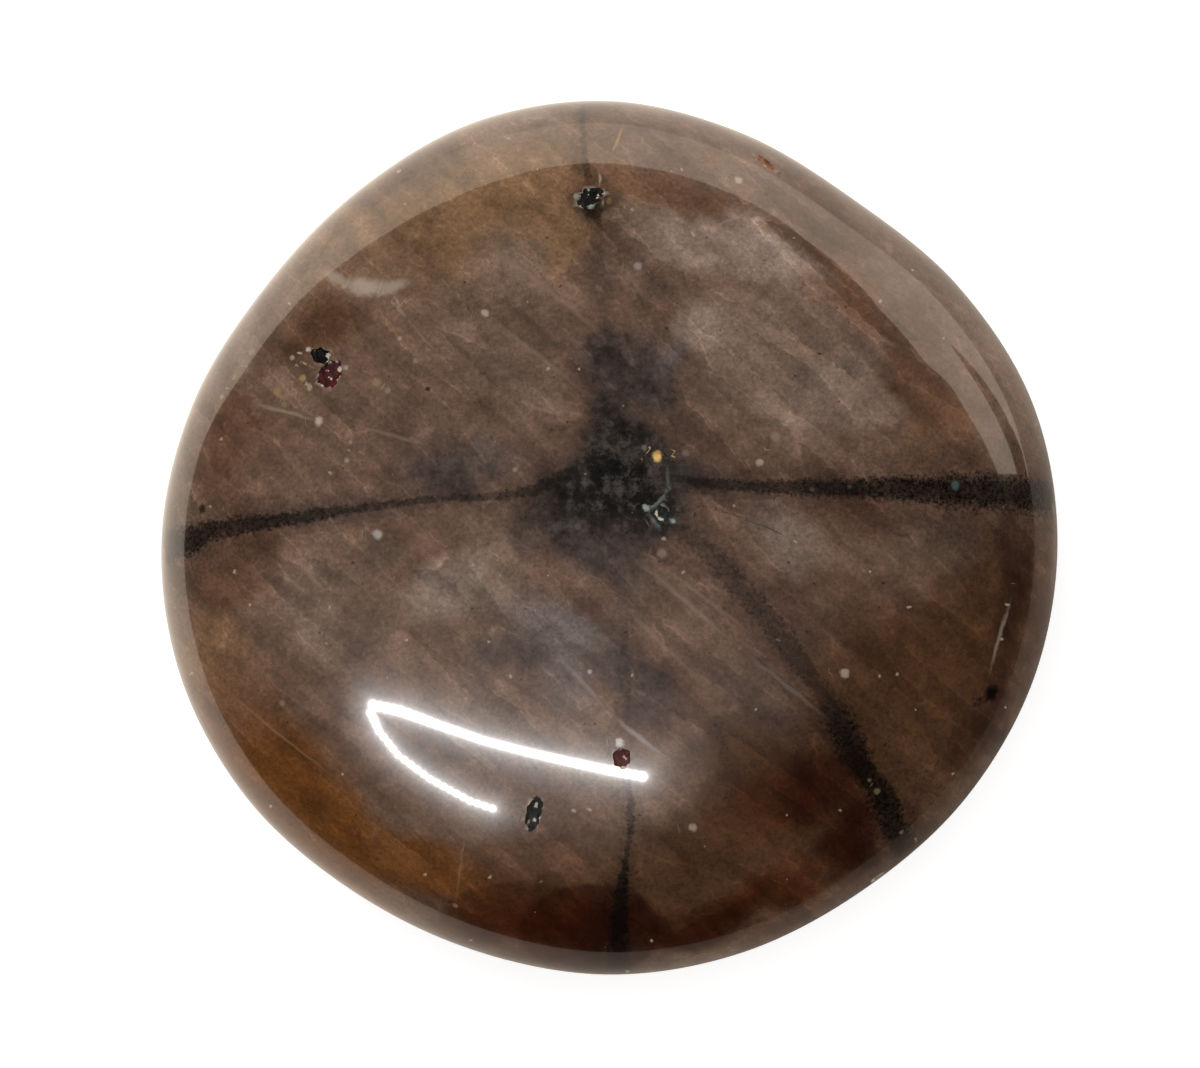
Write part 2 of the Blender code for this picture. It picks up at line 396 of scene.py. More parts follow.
TONES = {  # the crystal's browns, from its palest cloud to its graphite; some also serve as painted shade toward the south and as painted haze in the middle
    "pale_mauve": "927e6f",
    "pale_pink": "806d60",
    "pale_tan": "796354",
    "grey": "635955",
    "tan": "77593e",
    "tan_brown": "695243",
    "warm_brown": "674834",
    "brown": "59473b",
    "red_brown": "5b402f",
    "smoke": "493d37",
    "rust": "5f3816",
    "dark_smoke": "3f342e",
    "olive_brown": "452c1a",
    "deep_smoke": "312824",
    "dark_rust": "3e1d0a",
    "near_black": "211d19",
    "maroon": "2b0d03",
    "dark_brown": "301d14",
    "black": "151210",
}
ZONES = {  # pixel, half length, half width (mm), turn (deg), strength, tone
    # Toward the south and south-east the zones grow darker: partly the crystal's own browns and maroons,
    # partly painted shade on the side that turns away from the light.
    "south_east_ground": ((850, 770), 9.0, 5.5, 38, 0.95, "olive_brown"),
    "south_ground": ((600, 905), 9.0, 3.0, 0, 0.95, "olive_brown"),
    "south_west_ground": ((290, 800), 7.0, 2.8, -48, 0.90, "rust"),
    "east_ground": ((985, 640), 5.0, 2.6, 80, 0.90, "olive_brown"),
    "north_west_tan": ((430, 240), 7.0, 3.6, 25, 0.85, "tan"),
    "north_tan": ((540, 215), 3.6, 3.2, 0, 0.70, "tan"),
    "west_tan": ((350, 300), 3.2, 2.4, 40, 0.60, "tan_brown"),
    "upper_left_brown": ((440, 340), 4.4, 3.0, -40, 0.70, "tan_brown"),
    "upper_left_pale": ((510, 262), 2.2, 2.0, 20, 0.75, "pale_tan"),
    "diagonal_pale": ((508, 372), 3.6, 1.2, -42, 0.55, "pale_tan"),
    "diagonal_dark": ((535, 330), 3.4, 0.8, -42, 0.60, "brown"),
    "west_red": ((238, 440), 2.6, 2.2, 60, 0.85, "red_brown"),
    "west_middle": ((310, 462), 3.2, 1.8, 0, 0.60, "tan_brown"),
    "left_low_brown": ((400, 420), 3.4, 1.4, -20, 0.50, "brown"),
    "olive": ((322, 320), 2.0, 1.6, 30, 0.80, "olive_brown"),
    "north_east_mauve": ((700, 240), 3.8, 1.5, -12, 0.55, "pale_mauve"),
    "north_east_bright": ((762, 256), 2.2, 1.2, -25, 0.85, "pale_mauve"),
    "top_red": ((660, 188), 4.6, 0.9, -8, 0.75, "warm_brown"),
    "olive_grey": ((655, 290), 1.6, 0.9, 15, 0.80, "brown"),
    "mauve_spot": ((712, 336), 1.5, 1.1, 30, 0.90, "pale_mauve"),
    "east_grey_tan": ((790, 345), 4.2, 3.2, 20, 0.75, "pale_tan"),
    "east_pale": ((830, 395), 3.2, 1.9, 20, 0.60, "pale_pink"),
    "east_red_high": ((862, 300), 1.8, 1.1, -45, 0.85, "warm_brown"),
    "east_red_side": ((920, 380), 2.8, 1.0, -65, 0.90, "red_brown"),
    "east_red_low": ((940, 436), 1.8, 1.4, 20, 0.75, "warm_brown"),
    "right_of_core": ((705, 400), 2.6, 1.6, 30, 0.70, "brown"),
    "over_east_arm": ((850, 450), 4.6, 0.9, 5, 0.60, "tan_brown"),
    "rim_west_low": ((225, 585), 1.8, 1.4, 80, 0.85, "red_brown"),
    "west_low_tan": ((215, 660), 2.2, 1.8, 70, 0.75, "tan"),
    "pink_west": ((308, 600), 1.5, 2.6, 10, 0.80, "pale_tan"),
    "brown_west": ((362, 558), 1.7, 1.0, 10, 0.85, "brown"),
    "tan_west": ((392, 612), 2.2, 1.3, 30, 0.60, "tan_brown"),
    "pink_middle": ((462, 592), 2.6, 1.5, 20, 0.80, "pale_pink"),
    # The grey in the middle and low down is partly the crystal's grey and partly a painted haze of reflected
    # light, as the gloss shows round the highlight.
    "grey_middle": ((560, 640), 2.8, 1.7, -30, 0.85, "grey"),
    "grey_low": ((560, 692), 2.0, 1.1, -40, 0.60, "grey"),
    "mauve_low": ((636, 690), 1.9, 1.3, -40, 0.75, "smoke"),
    "brown_low": ((505, 655), 2.0, 1.0, 30, 0.70, "smoke"),
    "pink_centre": ((672, 625), 3.4, 1.9, -42, 0.60, "tan_brown"),
    "pink_right": ((765, 690), 2.4, 1.6, -42, 0.60, "brown"),
    "pink_east": ((785, 540), 2.2, 1.4, -30, 0.85, "pale_pink"),
    "mauve_east": ((850, 555), 2.4, 1.2, -10, 0.65, "tan_brown"),
    "red_east": ((925, 545), 2.6, 1.4, -10, 0.75, "brown"),
    "brown_east": ((900, 650), 3.4, 3.0, 0, 0.90, "olive_brown"),
    "dark_east_rim": ((1010, 580), 0.9, 3.0, -8, 0.75, "dark_brown"),
    "dark_south_east_rim": ((985, 712), 1.3, 2.6, -30, 0.80, "dark_brown"),
    "brown_low_right": ((748, 752), 2.6, 1.8, -20, 0.80, "olive_brown"),
    "brown_south_east": ((765, 800), 2.6, 1.8, 20, 0.80, "dark_rust"),
    "red_south_east": ((825, 790), 2.2, 2.0, 40, 0.85, "maroon"),
    "deep_red_south_east": ((856, 842), 1.7, 1.2, 40, 0.90, "maroon"),
    "brown_south": ((705, 845), 3.0, 1.8, 10, 0.85, "olive_brown"),
    "orange_south": ((770, 892), 3.4, 1.0, 25, 0.85, "dark_rust"),
    "red_south": ((545, 862), 3.8, 1.1, 0, 0.85, "red_brown"),
    "west_low_light": ((250, 705), 2.2, 1.5, -60, 0.70, "warm_brown"),
    "rust_west": ((285, 775), 2.6, 2.0, -50, 0.90, "rust"),
    "rust_south_west": ((345, 838), 2.6, 1.3, -45, 0.95, "rust"),
    "rust_south": ((430, 870), 3.4, 1.2, -16, 0.90, "rust"),
    "under_highlight": ((420, 800), 3.0, 1.4, -35, 0.60, "red_brown"),
    # The crescent along the south rim is partly the crystal's maroon and partly painted shade.
    "crescent_left": ((505, 925), 2.4, 1.1, -5, 0.95, "dark_rust"),
    "crescent": ((585, 925), 2.6, 1.3, 5, 0.95, "maroon"),
    "crescent_right": ((690, 928), 2.8, 1.0, 8, 0.90, "maroon"),
}
SMOKE = {  # the graphite's clouds: pixel, half length, half width (mm), turn (deg), strength, tone
    "west_arm_smoke": ((458, 466), 3.2, 1.4, 8, 0.90, "smoke"),
    "west_arm_shade": ((330, 512), 4.6, 0.6, 5, 0.50, "smoke"),
    "upper_smoke": ((630, 368), 2.3, 2.0, -30, 0.90, "smoke"),
    "upper_dark": ((604, 342), 1.0, 1.3, -30, 0.75, "dark_smoke"),
    "upper_bridge": ((612, 396), 1.1, 1.5, -20, 0.80, "dark_smoke"),
    "upper_right": ((652, 392), 1.5, 0.7, -50, 0.60, "dark_smoke"),
    "lilac_edge": ((668, 362), 1.0, 0.5, 50, 0.50, "grey"),
    "core_halo": ((622, 492), 3.9, 2.7, 0, 0.80, "dark_smoke"),
    "core_fringe": ((588, 528), 3.2, 1.4, -4, 0.95, "deep_smoke"),
    "core_slanted": ((634, 462), 2.6, 1.9, -52, 0.90, "deep_smoke"),
    "core_level": ((606, 490), 3.0, 1.2, 4, 0.95, "near_black"),
    "core_high": ((616, 452), 1.7, 1.6, -40, 0.90, "near_black"),
    "core_dark": ((628, 490), 1.9, 1.3, -20, 0.95, "black"),
    "core_east": ((690, 476), 1.5, 0.6, 0, 0.75, "dark_smoke"),
    "core_tail": ((524, 534), 0.5, 1.3, 12, 0.60, "dark_smoke"),
    "green_patch": ((668, 516), 1.1, 0.95, 30, 0.90, "near_black"),
    "core_foot": ((610, 560), 2.6, 1.1, -30, 0.70, "smoke"),
    "south_shade": ((622, 620), 0.8, 2.6, 0, 0.45, "smoke"),
    "north_smoke": ((603, 262), 0.8, 1.9, 0, 0.45, "smoke"),
    "north_blot": ((594, 202), 1.0, 0.8, 0, 0.70, "near_black"),
}
SHARP = {  # dark bands along the south rim with a clear upper edge, partly maroon crystal and partly painted shade, the edge standing where a reflection ends: pixel, half sizes (mm), turn (deg), strength, tone
    "crescent_left": ((520, 925), 2.9, 1.55, 0, 0.55, "dark_rust"),
    "crescent": ((590, 932), 2.5, 1.75, 2, 0.75, "maroon"),
}
ARMS = {  # route in pixels, each with its whole width in mm and its darkness
    "west": [
        (166, 546, 1.7, 0.9), (190, 540, 1.4, 0.95), (215, 530, 0.95, 0.95), (290, 519, 0.66, 0.9),
        (335, 512, 0.54, 0.85), (380, 506, 0.42, 0.75), (450, 498, 0.36, 0.7), (520, 493, 0.48, 0.8),
        (552, 482, 0.7, 0.8), (580, 470, 0.8, 0.0),
    ],
    "east": [
        (660, 478, 0.5, 0.0), (684, 480, 0.44, 0.7), (730, 486, 0.54, 0.85), (790, 487, 0.72, 0.9),
        (850, 488, 0.92, 0.95), (920, 489, 1.20, 1.0), (985, 492, 1.6, 1.0), (1030, 495, 2.0, 1.0),
        (1050, 500, 2.0, 0.95),
    ],
    "south": [
        (620, 560, 0.5, 0.0), (624, 640, 0.4, 0.25), (628, 700, 0.3, 0.2), (630, 795, 0.30, 0.55),
        (631, 822, 0.40, 0.75), (628, 845, 0.28, 0.7), (624, 872, 0.46, 0.95), (621, 900, 0.75, 1.0),
        (618, 940, 0.95, 1.0), (618, 966, 1.0, 0.95),
    ],
    "north": [
        (583, 106, 0.30, 0.5), (583, 135, 0.28, 0.6), (588, 180, 0.42, 0.6), (592, 202, 0.8, 0.8),
        (596, 235, 0.7, 0.35), (602, 290, 0.7, 0.15), (610, 350, 0.8, 0.0), (615, 420, 1.0, 0.0),
    ],
    "south_east": [
        (676, 528, 0.7, 0.0), (700, 545, 0.9, 0.60), (742, 588, 1.0, 0.70), (790, 648, 1.05, 0.70),
        (818, 690, 0.75, 0.60), (836, 716, 1.2, 0.95), (850, 742, 1.35, 1.0), (868, 775, 1.15, 0.95),
        (886, 805, 1.35, 1.0), (896, 832, 1.25, 0.95), (908, 856, 0.6, 0.0),
    ],
}
GRAPHITE = "090807"
LINES = {  # cleavage lines: from pixel, to pixel, whole width (mm), strength, colour
    "long_pale": ((478, 236), (604, 334), 0.22, 0.35, "8a705e"),
    "low_pale": ((484, 314), (592, 398), 0.20, 0.35, "84705f"),
    "shoulder": ((352, 424), (436, 447), 0.16, 0.35, "8a7868"),
    "shoulder_left": ((255, 404), (318, 421), 0.18, 0.55, "94806c"),
    "crack_one": ((556, 652), (612, 716), 0.19, 0.34, "8e8480"),
    "crack_two": ((612, 716), (664, 757), 0.23, 0.49, "a09690"),
    "sight_one": ((640, 562), (742, 650), 0.19, 0.26, "8e7f78"),
    "sight_two": ((742, 650), (832, 722), 0.19, 0.26, "8a7a70"),
    "sight_three": ((618, 600), (702, 684), 0.19, 0.22, "8e7f78"),
    "sight_four": ((662, 566), (760, 640), 0.17, 0.22, "8e7f78"),
    "cross_line": ((450, 560), (392, 640), 0.23, 0.19, "8e7f74"),
    "left_long": ((225, 690), (350, 790), 0.10, 0.35, "8a6a50"),
    "left_short": ((455, 545), (520, 590), 0.23, 0.19, "8e7f74"),
    "south_crack": ((466, 818), (456, 905), 0.11, 0.40, "84624e"),
    "east_scratch": ((1011, 596), (988, 678), 0.16, 0.85, "76685c"),
    "gold_streak": ((623, 126), (613, 152), 0.12, 0.70, "a08058"),
    "north_streak": ((599, 171), (600, 187), 0.12, 0.80, "a08a74"),
    "north_east_crack": ((700, 232), (760, 208), 0.10, 0.35, "9a8474"),
    "east_curve": ((850, 318), (905, 352), 0.14, 0.30, "84705e"),
    "vein_high": ((668, 462), (667, 494), 0.16, 0.45, "5e645e"),
    "vein_middle": ((668, 492), (647, 514), 0.18, 0.60, "6e7870"),
    "vein_low": ((648, 512), (662, 532), 0.16, 0.45, "5e645e"),
    "veil_left": ((322, 272), (352, 286), 0.50, 0.60, "a69684"),
    "veil_middle": ((340, 284), (388, 289), 0.75, 0.65, "b0a08e"),
    "veil_right": ((370, 292), (414, 282), 0.50, 0.60, "a69684"),
    "veil_arc_high": ((394, 302), (406, 318), 0.16, 0.50, "94806e"),
    "veil_arc_low": ((405, 317), (442, 358), 0.10, 0.35, "8e7a68"),
}
SPECKS = {  # pixel, width (mm), strength, colour
    "gold_spot": ((657, 456), 0.46, 1.0, "d9b068"),
    "vein_head": ((646, 508), 0.30, 0.9, "8e9a92"),
    "vein_pale": ((673, 521), 0.22, 0.8, "8a9890"),
    "core_pale": ((644, 448), 0.26, 0.6, "7e7068"),
    "core_pale_right": ((686, 453), 0.32, 0.5, "7a6c66"),
    "pink_low": ((662, 553), 0.42, 0.6, "8a7468"),
    "pink_left": ((577, 526), 0.30, 0.5, "6a5a54"),
    "arm_fleck": ((955, 485), 0.42, 0.65, "4a5c58"),
    "arm_fleck_small": ((850, 487), 0.22, 0.5, "4c4a46"),
    "arm_fleck_two": ((812, 489), 0.22, 0.5, "54504c"),
    "white_left": ((319, 421), 0.36, 0.85, "b0a090"),
    "white_arm": ((377, 534), 0.42, 0.75, "a8a094"),
    "white_mid": ((346, 460), 0.26, 0.6, "a09080"),
    "white_high": ((485, 313), 0.34, 0.75, "b09a84"),
    "white_high_two": ((399, 338), 0.22, 0.6, "a89078"),
    "white_band": ((350, 443), 0.20, 0.5, "a08c78"),
    "white_core": ((515, 470), 0.22, 0.5, "9a8a7c"),
    "white_east": ((760, 463), 0.36, 0.7, "a89484"),
    "white_east_two": ((775, 436), 0.40, 0.45, "94806e"),
    "white_south_east": ((845, 673), 0.40, 0.75, "a09078"),
    "white_low": ((590, 672), 0.24, 0.75, "a8a09c"),
    "white_left_low": ((282, 703), 0.30, 0.5, "8e7a60"),
    "pale_south": ((692, 828), 0.34, 0.75, "9a8a76"),
    "lilac_north": ((637, 266), 0.34, 0.65, "9a8a8c"),
    "north_dot": ((591, 205), 0.30, 0.8, "8a9488"),
    "north_flake": ((577, 197), 0.30, 0.7, "9a9088"),
    "north_brown": ((609, 201), 0.26, 0.7, "7a5a40"),
    "north_dot_two": ((633, 210), 0.16, 0.6, "a89888"),
    "rim_glint": ((738, 180), 0.36, 0.65, "b8a48c"),
    "gold_one": ((302, 378), 0.36, 0.7, "a08458"),
    "gold_two": ((309, 388), 0.30, 0.6, "b09c80"),
    "gold_three": ((277, 391), 0.40, 0.65, "8e7450"),
    "gold_four": ((284, 404), 0.32, 0.55, "8a7250"),
    "gold_five": ((252, 352), 0.36, 0.55, "8e7a58"),
    "gold_six": ((234, 377), 0.30, 0.5, "8e7a58"),
    "gold_seven": ((222, 397), 0.24, 0.5, "a08c60"),
    # At the pits the pale glints, the pale right side of the garnet among them, are painted highlights, and
    # the black in the oblong pit is painted shade in its hollow.
    "oblong_hollow_shade": ((533, 817), 0.44, 0.95, "0a0908"),
    "oblong_foot": ((537, 800), 0.26, 0.6, "7e7a70"),
    "wedge_glint": ((620, 742), 0.40, 0.8, "c8c0b8"),
    "garnet_dark": ((322, 356), 0.40, 0.9, "0c0a0a"),
    "garnet_side_glint": ((345, 368), 0.26, 0.7, "a09488"),
    "pit_glint": ((309, 349), 0.24, 0.8, "c0b0a0"),
    "pit_glint_low": ((292, 357), 0.24, 0.6, "a89888"),
    "tan_speck": ((415, 361), 0.26, 0.5, "9a8068"),
    "tan_speck_two": ((377, 382), 0.40, 0.5, "94806a"),
    "tan_speck_three": ((388, 391), 0.26, 0.5, "94806a"),
    "dark_red_dot": ((427, 389), 0.26, 0.85, "2a0a06"),
    "rim_blob": ((992, 693), 0.75, 0.95, "0a0706"),
    "rim_dark_low": ((975, 705), 0.35, 0.6, "1a0e0a"),
    "arm_mark": ((203, 508), 0.40, 0.85, "171310"),
    "outer_streak": ((168, 560), 0.40, 0.9, "0a0908"),
    "south_east_fleck": ((877, 791), 0.32, 0.7, "6a5a3e"),
    "south_east_fleck_two": ((869, 780), 0.20, 0.7, "60543c"),
    "south_east_fleck_three": ((902, 832), 0.22, 0.7, "6a6450"),
    "rust_rim": ((455, 906), 0.26, 0.6, "94684c"),
    "rim_notch": ((767, 160), 0.30, 0.8, "4a2c20"),
    "rim_notch_two": ((785, 169), 0.34, 0.7, "5a3a2c"),
}
THROUGH = 1000.0  # mm, deep enough for a colour that runs right through the stone
MARK_DEPTH = 3.0  # mm
MARK_MARGIN = 0.35  # mm around a mark in which its own way out is kept
NO_MARK_NEAR = (9.0, 0.0, 0.0)
HALO_REACH = 4.2  # half widths
END_STATION = 0.51  # of an arm's length, from its middle
FAR_AWAY = 100.0  # half widths
PATCH_SPREAD = 1.22
ARM_SPREAD = 0.62
DRIFT = (0.16, -0.10, 0.0)  # mm per mm of depth
GROUND_RED = "5a4032"
GROUND_GREY = "715a4b"


def grown_place(tree, object_place):
    """The place in millimetres. Under the girdle the marks drift a little, as they do along a crystal."""
    place = add(tree, VECTOR_MATH, {0: object_place, "Scale": 1 / MM}, operation="SCALE")
    height = add(tree, "ShaderNodeSeparateXYZ", {0: place}).outputs["Z"]
    depth = add(tree, MATH, {0: height, 1: GIRDLE_HEIGHT}, operation="SUBTRACT")
    depth = add(tree, MATH, {0: depth, 1: 0.0}, operation="MINIMUM")
    drift = add(tree, VECTOR_MATH, {0: DRIFT, "Scale": depth}, operation="SCALE")
    return add(tree, VECTOR_MATH, {0: place, 1: drift}, operation="ADD").outputs[0]


def wavered(tree, place, scale, detail, amount):
    """The place, shifted to and fro by noise whose grains measure 1 / scale millimetres."""
    shift = add(tree, "ShaderNodeTexNoise", {
        "Vector": place, "Scale": scale, "Detail": detail, "Roughness": 0.6,
    })
    shift = shift.outputs["Color"]
    shift = add(tree, VECTOR_MATH, {0: shift, 1: (0.5, 0.5, 0.5)}, operation="SUBTRACT")
    shift = add(tree, VECTOR_MATH, {0: shift, "Scale": amount}, operation="SCALE")
    return add(tree, VECTOR_MATH, {0: place, 1: shift}, operation="ADD").outputs[0]


def patch_group():
    """One soft oval of colour laid over another: in full at its middle, and fading to its edge."""
    tree = bpy.data.node_groups.new("patch", "GeometryNodeTree")
    tree.interface.new_socket("Colour", in_out="OUTPUT", socket_type="NodeSocketColor")
    tree.interface.new_socket("Under", in_out="INPUT", socket_type="NodeSocketColor")
    for name in ("Place", "Centre", "Size"):
        tree.interface.new_socket(name, in_out="INPUT", socket_type="NodeSocketVector")
    for name in ("Turn", "Strength", "Core"):
        tree.interface.new_socket(name, in_out="INPUT", socket_type="NodeSocketFloat")
    tree.interface.new_socket("Over", in_out="INPUT", socket_type="NodeSocketColor")
    given = add(tree, "NodeGroupInput").outputs
    local = add(tree, "ShaderNodeVectorRotate", {
        "Vector": given["Place"], "Center": given["Centre"], "Angle": given["Turn"],
    }, rotation_type="Z_AXIS", invert=True)
    local = add(tree, VECTOR_MATH, {0: local, 1: given["Centre"]}, operation="SUBTRACT")
    local = add(tree, VECTOR_MATH, {0: local, 1: given["Size"]}, operation="DIVIDE")
    away = add(tree, VECTOR_MATH, {0: local}, operation="LENGTH").outputs["Value"]
    cover = add(tree, MAP_RANGE, {
        "Value": away, "From Min": given["Core"], "From Max": 1.0, "To Min": given["Strength"], "To Max": 0.0,
    }, interpolation_type="SMOOTHSTEP")
    colour = add(tree, "ShaderNodeMix", {
        "Factor": cover, "A": given["Under"], "B": given["Over"],
    }, data_type="RGBA")
    add(tree, "NodeGroupOutput", {0: colour})
    return tree


def mark_group():
    """One small mark: a place near it keeps the way out from its middle, if no mark before it is nearer."""
    tree = bpy.data.node_groups.new("mark", "GeometryNodeTree")
    kinds = {"Away": "NodeSocketVector", "Strength": "NodeSocketFloat", "Tone": "NodeSocketColor"}
    for name, kind in kinds.items():
        tree.interface.new_socket(name, in_out="OUTPUT", socket_type=kind)
    for name, kind in kinds.items():
        tree.interface.new_socket(name + " so far", in_out="INPUT", socket_type=kind)
    for name in ("Place", "Centre", "Size"):
        tree.interface.new_socket(name, in_out="INPUT", socket_type="NodeSocketVector")
    for name in ("Turn", "Strength"):
        tree.interface.new_socket(name, in_out="INPUT", socket_type="NodeSocketFloat")
    tree.interface.new_socket("Tone", in_out="INPUT", socket_type="NodeSocketColor")
    given = add(tree, "NodeGroupInput").outputs
    local = add(tree, "ShaderNodeVectorRotate", {
        "Vector": given["Place"], "Center": given["Centre"], "Angle": given["Turn"],
    }, rotation_type="Z_AXIS", invert=True)
    local = add(tree, VECTOR_MATH, {0: local, 1: given["Centre"]}, operation="SUBTRACT")
    away = add(tree, VECTOR_MATH, {0: local, 1: given["Size"]}, operation="DIVIDE")
    past = add(tree, VECTOR_MATH, {0: local}, operation="ABSOLUTE")
    past = add(tree, VECTOR_MATH, {0: past, 1: given["Size"]}, operation="SUBTRACT")
    past = add(tree, "ShaderNodeSeparateXYZ", {0: past}).outputs
    furthest = add(tree, MATH, {0: past["X"], 1: past["Y"]}, operation="MAXIMUM")
    furthest = add(tree, MATH, {0: furthest, 1: past["Z"]}, operation="MAXIMUM")
    near = add(tree, MATH, {0: furthest, 1: MARK_MARGIN}, operation="LESS_THAN")
    length = add(tree, VECTOR_MATH, {0: away}, operation="LENGTH").outputs["Value"]
    least = add(tree, VECTOR_MATH, {0: given["Away so far"]}, operation="LENGTH").outputs["Value"]
    nearer = add(tree, MATH, {0: length, 1: least}, operation="LESS_THAN")
    near = add(tree, MATH, {0: near, 1: nearer}, operation="MULTIPLY")
    kept = {}
    for socket, (name, new, kind) in enumerate((
        ("Away", away, "VECTOR"), ("Strength", given["Strength"], "FLOAT"), ("Tone", given["Tone"], "RGBA"),
    )):
        kept[socket] = add(tree, "ShaderNodeMix", {
            "Factor": near, "A": given[name + " so far"], "B": new,
        }, data_type=kind)
    add(tree, "NodeGroupOutput", kept)
    return tree


def arm_field(tree, place, route):
    """How many half widths a place lies beside one arm of the cross, the arm's darkness, and the distance."""
    points = [on_stone((x, y)) for x, y, _, _ in route]
    start, end = points[0], points[-1]
    way = Vector((end.x - start.x, end.y - start.y))
    local = add(tree, "ShaderNodeVectorRotate", {
        "Vector": place, "Center": start, "Angle": math.atan2(way.y, way.x),
    }, rotation_type="Z_AXIS", invert=True)
    local = add(tree, VECTOR_MATH, {0: local, 1: start}, operation="SUBTRACT")
    local = add(tree, "ShaderNodeSeparateXYZ", {0: local}).outputs
    station = add(tree, MATH, {0: local["X"], 1: way.length}, operation="DIVIDE")
    stations, bends, halves, darks = [], [], [], []
    for point, (_, _, whole, dark) in zip(points, route):
        offset = Vector((point.x - start.x, point.y - start.y))
        stations.append(offset.dot(way) / way.length_squared)
        bends.append(way.normalized().cross(offset) / 2 + 0.5)
        halves.append(whole * ARM_SPREAD)
        darks.append(dark)
    curves = {}
    for name, values in (("bend", bends), ("half", halves), ("dark", darks)):
        curve = add(tree, "ShaderNodeFloatCurve", {"Value": station})
        dots = curve.mapping.curves[0].points
        while len(dots) < len(stations):
            dots.new(0.5, 0.5)
        for dot, spot, value in zip(dots, stations, values):
            dot.location = (min(max(spot, 0.0), 1.0), value)
        curve.mapping.update()
        curves[name] = curve
    bend = add(tree, MATH, {0: curves["bend"], 1: 0.5}, operation="SUBTRACT")
    bend = add(tree, MATH, {0: bend, 1: 2.0}, operation="MULTIPLY")
    off = add(tree, MATH, {0: local["Y"], 1: bend}, operation="SUBTRACT")
    beside = add(tree, MATH, {0: off, 1: curves["half"]}, operation="DIVIDE")
    past_end = add(tree, MATH, {0: station, 1: 0.5}, operation="SUBTRACT")
    past_end = add(tree, MATH, {0: past_end}, operation="ABSOLUTE")
    past_end = add(tree, MATH, {0: past_end, 1: END_STATION}, operation="GREATER_THAN")
    past_end = add(tree, MATH, {0: past_end, 1: FAR_AWAY}, operation="MULTIPLY")
    distance = add(tree, MATH, {0: beside}, operation="ABSOLUTE")
    distance = add(tree, MATH, {0: distance, 1: past_end}, operation="ADD")
    return beside, curves["dark"], distance


